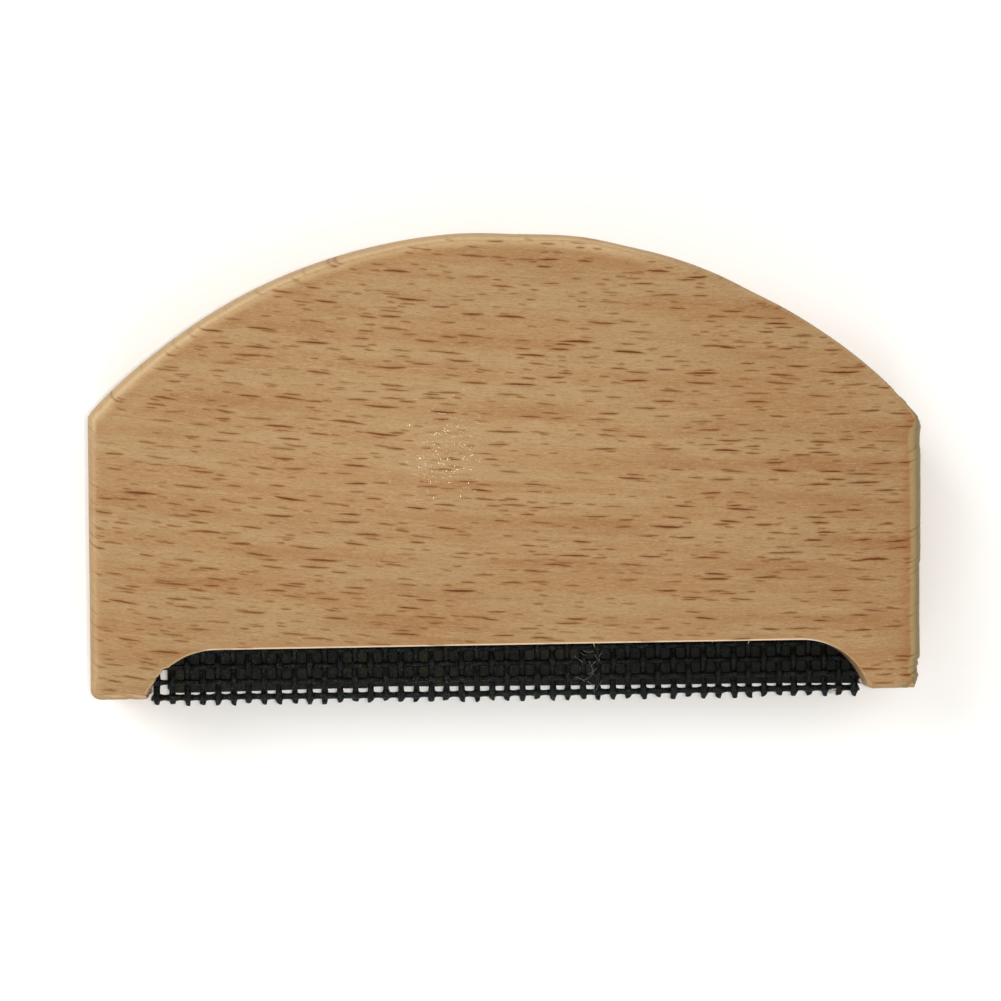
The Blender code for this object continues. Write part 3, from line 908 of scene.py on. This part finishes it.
def beech_grain(tree, x, y, z, over, deep):
    """The plain wood's colour, with its streak and fibre patterns."""
    # Growth rings: long soft bands with streaky edges
    ring_wave = noise(tree, join_xyz(tree, x / 34, y / 6, z / 6), detail=2.0) - 0.5
    streak = noise(tree, join_xyz(tree, x / 6.0, over / 0.30, deep / 1.2), detail=3.0, roughness=0.6)
    across = (y + x * RING_SLOPE) * math.sin(RAY_TILT) - z * (math.cos(RAY_TILT) * 0.9)
    ring = across / RING_WIDTH + ring_wave * 1.5 + (streak - 0.5) * 0.35
    late = ring.fraction()
    ring_line = late.step(0.30, 0.82) * (1 - late.step(0.86, 1.0))
    ring_strength = noise(tree, join_xyz(tree, x / 20, ring.floor() * 3.1, 0.0), detail=1.0).step(0.38, 0.68)
    # Soft clouds, fibre streaks and fine pores
    cloud = noise(tree, join_xyz(tree, x / 18, over / 1.8, deep / 5), detail=3.0)
    fibre = noise(tree, join_xyz(tree, x / 1.1, over / 0.11, deep / 0.5), detail=2.0, roughness=0.65)
    grain = noise(tree, join_xyz(tree, x / 0.34, over / 0.10, deep / 0.2), detail=1.0)
    colour = blend_colour(tree, BEECH_PALE, BEECH_WARM, cloud.step(0.36, 0.66))
    # Painted shade: the wood is blended darker towards the right end, where less light falls
    painted_shade_right = x.step(0.0, RIGHT_X) * 0.14
    colour = blend_colour(tree, colour, BEECH_RING, ring_line * ring_strength * 0.48 + painted_shade_right)
    colour = blend_colour(tree, colour, BEECH_RING, streak.step(0.52, 0.80) * 0.40)
    colour = blend_colour(tree, colour, BEECH_LIGHT, streak.step(0.48, 0.22) * 0.34)
    colour = blend_colour(tree, colour, BEECH_RING, fibre.step(0.50, 0.78) * 0.48)
    colour = blend_colour(tree, colour, BEECH_LIGHT, fibre.step(0.50, 0.22) * 0.50)
    colour = blend_colour(tree, colour, BEECH_RING, grain.step(0.52, 0.82) * 0.40)
    colour = blend_colour(tree, colour, BEECH_LIGHT, grain.step(0.48, 0.18) * 0.40)
    return colour, streak, fibre


def beech_edges(tree, colour, place, normal, streak, fibre):
    """The colour along the handle's edges, with painted sheen and shade on them, and a mask of the rounded
    edge itself.
    """
    x, y, z = place
    # Wax collects just inside the sanded edges; the edges themselves are paler, partly sanded wood and partly
    # painted sheen, with a painted olive shade at the right end
    from_crown, from_side, from_arch = face_rim(x, y)
    facing = tree.nodes.new("ShaderNodeSeparateXYZ")
    tree.links.new(normal, facing.inputs[0])
    upright = Field(tree, facing.outputs[2]).size()
    flat = upright.step(0.90, 0.995)
    right_end = x.step(RIGHT_X - 3.4, RIGHT_X - 1.6)
    right_crown = x.step(9.0, 20.0)
    crown_rim = from_crown.step(2.8, 1.7) * (0.24 - 0.24 * right_crown)
    side_rim = from_side.step(2.8, 1.3) * x.step(0.0, RIGHT_X) * 0.80
    arch_rim = from_arch.step(1.3, 0.1) * 0.30
    rim = crown_rim.math("MAXIMUM", side_rim).math("MAXIMUM", arch_rim) * flat
    colour = blend_colour(tree, colour, BEECH_WAXED, rim * (0.55 + 0.9 * (streak - 0.5)))
    edge = upright.step(0.995, 0.80) * upright.step(0.02, 0.35)
    # Painted shade: where the rounded edge turns further away from the face, its colour is darkened
    outer_edge_shade = upright.step(0.86, 0.62)
    sanded_sheen_and_shade = blend_colour(tree, BEECH_SANDED_SHEEN, BEECH_SANDED_SHADED, outer_edge_shade)
    right_edge_shade = blend_colour(tree, BEECH_RIGHT_EDGE_SHADE, BEECH_RIGHT_EDGE_DEEP_SHADE, outer_edge_shade)
    # The pale sanded strip, partly a painted sheen from the light at the upper left, is strong on the left
    # crown, weak on the left side and nearly gone on the right crown
    on_side = (from_crown - from_side).step(0.2, 1.6) * from_side.step(1.7, 1.3)
    sanding_and_sheen = (1 - 0.55 * on_side) * (1 - 0.72 * right_crown * (1 - on_side))
    # The pale band on the face just inside the crown and left side is also partly painted sheen
    fade_in = (from_crown.step(1.8, 0.8) * 0.62).math("MAXIMUM", from_side.step(1.6, 0.7) * 0.16)
    fade_in = fade_in * flat * (1 - right_crown)
    colour = blend_colour(tree, colour, BEECH_SANDED_SHEEN, fade_in * (1.0 - 0.4 * fibre))
    colour = blend_colour(tree, colour, sanded_sheen_and_shade, edge * sanding_and_sheen * (0.80 - 0.3 * fibre))
    # Painted shade: the rounded edge at the right end gets a darker olive colour, as that side gets less
    # light
    near_front = z.step(THICKNESS - 3.0, THICKNESS - 1.6)
    colour = blend_colour(tree, colour, right_edge_shade, edge * right_end * near_front * (1.0 - 0.3 * fibre))
    # The thin pale line on the arch's front edge is partly paler cut wood and partly a painted highlight
    colour = blend_colour(tree, colour, BEECH_ARCH_PALE_AND_HIGHLIGHT, from_arch.step(0.22, 0.14) * edge * 0.9)
    # Painted shade: the arch's inner wall, recessed under the front face, is darkened
    arch_wall_shade = from_arch.step(0.30, 0.20) * upright.step(0.35, 0.05)
    return blend_colour(tree, colour, BEECH_ARCH_WALL_SHADE, arch_wall_shade * 0.8), edge


def beech_flecks(tree, colour, x, over, deep, edge):
    """Ray flecks and pores over the colour, and the patterns of the two largest sizes and the pores."""
    ripple = noise(tree, join_xyz(tree, x / 0.7, over / 0.25, deep / 3.0), detail=1.0) - 0.5
    place = (x, over + ripple * 0.07, deep)
    group = fleck_group()
    side = x.step(LEFT_X * 1.2, RIGHT_X * 0.6)
    large, large_halo = flecks(tree, group, place, *LARGE_FLECKS)
    second, second_halo = flecks(tree, group, place, *SECOND_FLECKS)
    small, small_halo = flecks(tree, group, place, *SMALL_FLECKS)
    pores, _ = flecks(tree, group, place, *PORES)
    halo = large_halo.math("MAXIMUM", second_halo).math("MAXIMUM", small_halo)
    on_face = 1 - 0.6 * edge
    colour = blend_colour(tree, colour, BEECH_PORE, pores * on_face * 0.46)
    colour = blend_colour(tree, colour, BEECH_HALO, halo * on_face * 0.42)
    colour = blend_colour(tree, colour, BEECH_SMALL, small * on_face * 0.66)
    colour = blend_colour(tree, colour, BEECH_FLECK, second * on_face * (0.72 + 0.22 * side))
    colour = blend_colour(tree, colour, BEECH_FLECK, large * (0.88 + 0.12 * side) * (1 - 0.55 * edge))
    return colour, large, second, pores


def beech_material():
    material, tree, shader = new_material(
        "beech_waxed", 0.46, Specular_IOR_Level=0.25, Coat_Weight=0.013, Coat_Roughness=0.06, Coat_IOR=1.45
    )
    shader.inputs["Specular Tint"].default_value = (1.0, 0.82, 0.50, 1.0)
    (x, y, z), coordinates = position_mm(tree)
    over, deep = grain_directions(tree, x, y, z)
    colour, streak, fibre = beech_grain(tree, x, y, z, over, deep)
    colour, edge = beech_edges(tree, colour, (x, y, z), coordinates.outputs["Normal"], streak, fibre)
    colour, large, second, pores = beech_flecks(tree, colour, x, over, deep, edge)
    plug(tree, colour, shader.inputs["Base Color"])
    relief = fibre * 0.5 + streak * 0.3 - large * 0.9 - second * 0.6 - pores * 0.5
    bump(tree, relief, 0.02, 0.45, shader)
    # The wax coat is uneven on a small scale, so a small lamp shows in it as a scatter of glints
    facets = noise(tree, join_xyz(tree, x / 0.95, over / 0.30, deep / 0.5), detail=1.0)
    bump(tree, facets, 0.03, 1.0, shader, ("Coat Normal",))
    gloss = 0.52 - fibre * 0.16 + large * 0.12
    plug(tree, gloss, shader.inputs["Roughness"])
    return material


# ---------------------------------------------------------------- black coating, strip, adhesive
def coating_material():
    material, tree, shader = new_material("mesh_coating_black", 0.4, Specular_IOR_Level=0.12)
    (x, y, z), _ = position_mm(tree)
    place = join_xyz(tree, x, y, z)
    tint = noise(tree, place, 0.7, detail=2.0)
    mottle = noise(tree, place, 4.0, detail=4.0, roughness=0.65)
    # Painted glints: sparse light specks in the coating's colour, fewer towards the right, also used as bumps
    glint_specks = noise(tree, place, 9.0, detail=2.0, roughness=0.7)
    colour = blend_colour(tree, srgb(4, 9, 6), srgb(8, 8, 12), tint.step(0.40, 0.60))
    colour = blend_colour(tree, colour, srgb(24, 25, 18), mottle.step(0.50, 0.74) * 0.6)
    plainer_right = 1 - 0.5 * x.step(4.0, 18.0)
    colour = blend_colour(tree, colour, srgb(106, 116, 108), glint_specks.step(0.58, 0.70) * plainer_right * 0.8)
    plug(tree, colour, shader.inputs["Base Color"])
    plug(tree, 0.22 + mottle * 0.25, shader.inputs["Roughness"])
    bump(tree, mottle + glint_specks * 0.6, 0.06, 1.0, shader)
    return material


def stiffener_material():
    material, tree, shader = new_material("stiffener_black", 0.6, Specular_IOR_Level=0.14)
    (x, y, z), _ = position_mm(tree)
    weave = noise(tree, join_xyz(tree, x * 4.0, y * 2.0, z), detail=3.0, roughness=0.6)
    brown_patches = noise(tree, join_xyz(tree, x / 4, y / 2, z), detail=3.0)
    glint_specks = noise(tree, join_xyz(tree, x, y, z), 8.0, detail=2.0, roughness=0.7)
    # Brownish patches and light specks, both fewer towards the right; the light specks are painted glints
    plainer_right = 1 - 0.6 * x.step(4.0, 18.0)
    colour = blend_colour(tree, srgb(15, 20, 17), srgb(43, 45, 36), weave.step(0.40, 0.66) * plainer_right)
    colour = blend_colour(tree, colour, srgb(56, 51, 34), brown_patches.step(0.44, 0.70) * plainer_right * 0.6)
    colour = blend_colour(tree, colour, srgb(120, 130, 120), glint_specks.step(0.58, 0.74) * plainer_right * 0.7)
    plug(tree, colour, shader.inputs["Base Color"])
    bump(tree, weave, 0.03, 0.5, shader)
    return material


def adhesive_material(name, colour, roughness):
    material, tree, shader = new_material(name, roughness, Transmission_Weight=0.45, IOR=1.47)
    (x, y, z), _ = position_mm(tree)
    cloud = noise(tree, join_xyz(tree, x, y, z), 2.5, detail=3.0)
    pale = srgb(226, 222, 204)
    plug(tree, blend_colour(tree, colour, pale, cloud.step(0.4, 0.7)), shader.inputs["Base Color"])
    bump(tree, cloud, 0.05, 0.4, shader)
    return material


def floor_material():
    material, tree, shader = new_material("floor_pale", 0.85, Specular_IOR_Level=0.1)
    (x, y, z), _ = position_mm(tree)
    grain = noise(tree, join_xyz(tree, x, y, z), 0.6, detail=4.0)
    colour = blend_colour(tree, srgb(251, 251, 250), srgb(253, 253, 252), grain)
    plug(tree, colour, shader.inputs["Base Color"])
    return material


# ---------------------------------------------------------------- floor, light, camera
CAMERA_DISTANCE = 350.6
CAMERA_YAW = math.radians(3.0)
CAMERA_ROLL = math.radians(0.66)
CAMERA_TARGET = Vector((-0.4, 0.2, THICKNESS))
CAMERA_LENS = 123.6
CAMERA_SHIFT = (-0.004, -0.034)
FLOOR_SIZE = 3000.0


def add_floor():
    half = FLOOR_SIZE / 2 * MM
    mesh = bpy.data.meshes.new("floor")
    corners = [(-half, -half, 0), (half, -half, 0), (half, half, 0), (-half, half, 0)]
    mesh.from_pydata(corners, [], [(0, 1, 2, 3)])
    mesh.materials.append(floor_material())
    floor = bpy.data.objects.new("floor", mesh)
    bpy.context.scene.collection.objects.link(floor)


def area_light(name, place_mm, size_mm, power, colour=(1, 1, 1), aim_mm=(0, 0, 6)):
    data = bpy.data.lights.new(name, "AREA")
    data.shape = "RECTANGLE"
    data.size, data.size_y = size_mm[0] * MM, size_mm[1] * MM
    data.energy = power
    data.color = colour
    light = bpy.data.objects.new(name, data)
    light.location = Vector(place_mm) * MM
    direction = (Vector(aim_mm) - Vector(place_mm)).normalized()
    light.rotation_euler = direction.to_track_quat("-Z", "Y").to_euler()
    bpy.context.scene.collection.objects.link(light)


def add_lights():
    world = bpy.data.worlds.new("studio")
    world.use_nodes = True
    background = world.node_tree.nodes["Background"]
    background.inputs["Color"].default_value = (1.0, 1.0, 1.0, 1.0)
    background.inputs["Strength"].default_value = 0.55
    bpy.context.scene.world = world
    area_light("key_upper_left", (-460, 360, 400), (520, 520), 3.0)
    area_light("fill_right", (500, 100, 420), (500, 500), 0.6)
    area_light("fill_lower", (-60, -520, 420), (500, 400), 1.2)
    area_light("flash", (-6, 0, 374), (6, 6), 0.33, colour=(1.0, 0.93, 0.82))


def add_camera():
    data = bpy.data.cameras.new("camera")
    data.lens = CAMERA_LENS
    data.sensor_width = 36.0
    data.shift_x, data.shift_y = CAMERA_SHIFT
    data.clip_start, data.clip_end = 0.01, 10.0
    camera = bpy.data.objects.new("camera", data)
    back = Vector((-math.sin(CAMERA_YAW), 0.0, math.cos(CAMERA_YAW)))
    right = Vector((0.0, 1.0, 0.0)).cross(back).normalized()
    up = back.cross(right)
    cos_roll, sin_roll = math.cos(CAMERA_ROLL), math.sin(CAMERA_ROLL)
    turned_right = right * cos_roll - up * sin_roll
    turned_up = right * sin_roll + up * cos_roll
    rotation = Matrix((turned_right, turned_up, back)).transposed()
    place = (CAMERA_TARGET + back * CAMERA_DISTANCE) * MM
    camera.matrix_world = Matrix.Translation(place) @ rotation.to_4x4()
    bpy.context.scene.collection.objects.link(camera)
    bpy.context.scene.camera = camera


def main():
    scene = bpy.context.scene
    scene.view_settings.view_transform = "Standard"
    beech = beech_material()
    coating = coating_material()
    build_handle(beech)
    build_splinters(beech)
    build_mesh_strands(coating)
    build_stiffener(stiffener_material())
    build_adhesive(adhesive_material("adhesive_set", srgb(196, 196, 184), 0.3))
    build_adhesive_strings(adhesive_material("adhesive_thread", srgb(140, 166, 180), 0.35))
    add_floor()
    add_lights()
    add_camera()


main()
